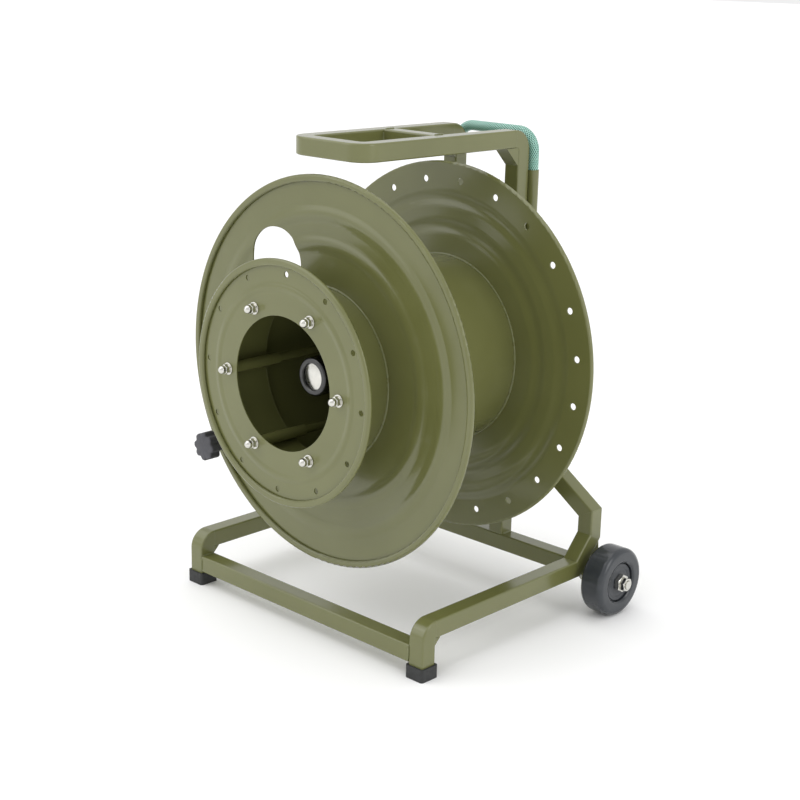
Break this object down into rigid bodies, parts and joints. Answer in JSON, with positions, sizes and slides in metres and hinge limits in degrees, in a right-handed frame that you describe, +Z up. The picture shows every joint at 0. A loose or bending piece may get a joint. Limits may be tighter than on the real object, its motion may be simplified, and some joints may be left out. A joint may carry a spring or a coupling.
{
  "type": "portable cable reel on a wheeled stand",
  "caption": "Olive painted steel cable reel with a main drum and a small front drum on a wheeled square-tube stand with handles.",
  "frame": {"origin": "on the floor, under the middle of the whole reel", "axes": "+Z up, +Y back along the drum's axle, from the small front drum towards the wheels, +X across the stand"},
  "size_m": [0.596, 0.4645, 0.6775],
  "materials": {
    "olive_powder_coat": "glossy powder coat on steel",
    "bright_zinc": "bright zinc or nickel plate",
    "black_steel": "glossy black paint",
    "black_rubber": "moulded, matt",
    "tyre_rubber": "solid, smooth and glossy",
    "black_nylon": "moulded, satin",
    "black_phenolic": "moulded, satin",
    "mint_hose": "PVC hose over a braided net"
  },
  "bodies": {
    "stand": {"axle": "black_steel", "axle_cap": "bright_zinc", "axle_plate": "olive_powder_coat", "front_cross_tube": "olive_powder_coat", "rear_cross_tube": "olive_powder_coat", "handle_loop": "olive_powder_coat", "handle_cross_tube": "olive_powder_coat", "foot_left": "black_rubber", "foot_right": "black_rubber", "front_leg_left": "olive_powder_coat", "front_leg_right": "olive_powder_coat", "side_rail_left": "olive_powder_coat", "side_rail_right": "olive_powder_coat", "rail_slope_left": "olive_powder_coat", "rail_slope_right": "olive_powder_coat", "riser_left": "olive_powder_coat", "riser_right": "olive_powder_coat", "shoulder_left": "olive_powder_coat", "shoulder_right": "olive_powder_coat", "post_left": "olive_powder_coat", "post_right": "olive_powder_coat", "upright_left": "olive_powder_coat", "upright_right": "olive_powder_coat", "guide_tube_left": "olive_powder_coat", "guide_tube_right": "olive_powder_coat", "axle_lug_left": "olive_powder_coat", "axle_lug_right": "olive_powder_coat", "wheel_bolt_left": "bright_zinc", "wheel_bolt_right": "bright_zinc", "wheel_nut_left": "bright_zinc", "wheel_nut_right": "bright_zinc", "lock_nut_left": "bright_zinc", "lock_nut_right": "bright_zinc"},
    "drum": {"rear_flange": "olive_powder_coat", "main_barrel": "olive_powder_coat", "middle_flange": "olive_powder_coat", "front_barrel": "olive_powder_coat", "front_flange": "olive_powder_coat", "hub_tube": "black_steel", "tie_rod_1": "olive_powder_coat", "tie_rod_2": "olive_powder_coat", "tie_rod_3": "olive_powder_coat", "tie_rod_4": "olive_powder_coat", "tie_rod_5": "olive_powder_coat", "tie_rod_6": "olive_powder_coat", "dome_nut_1": "bright_zinc", "dome_nut_2": "bright_zinc", "dome_nut_3": "bright_zinc", "dome_nut_4": "bright_zinc", "dome_nut_5": "bright_zinc", "dome_nut_6": "bright_zinc", "knob_stud": "bright_zinc"},
    "knob": {"winding_knob": "black_phenolic"},
    "wheel_left": {"wheel_hub_left": "black_nylon", "tyre_left": "tyre_rubber"},
    "wheel_right": {"wheel_hub_right": "black_nylon", "tyre_right": "tyre_rubber"},
    "pull_handle": {"pull_bar": "bright_zinc", "hose_grip": "mint_hose"}
  },
  "joints": [
    {"name": "drum_spin", "type": "hinge", "parent": "stand", "child": "drum", "pos_m": [0, -0.13825, 0.359], "axis": [0, 1, 0], "continuous": true},
    {"name": "knob_spin", "type": "hinge", "parent": "drum", "child": "knob", "pos_m": [-0.20069, -0.16825, 0.21847], "axis": [0, 1, 0], "continuous": true},
    {"name": "wheel_left_spin", "type": "hinge", "parent": "stand", "child": "wheel_left", "pos_m": [-0.266, 0.18225, 0.05], "axis": [1, 0, 0], "continuous": true},
    {"name": "wheel_right_spin", "type": "hinge", "parent": "stand", "child": "wheel_right", "pos_m": [0.266, 0.18225, 0.05], "axis": [1, 0, 0], "continuous": true},
    {"name": "pull_handle_slide", "type": "slide", "parent": "stand", "child": "pull_handle", "axis": [0, 0, 1], "range_m": [0, 0.15]}
  ]
}
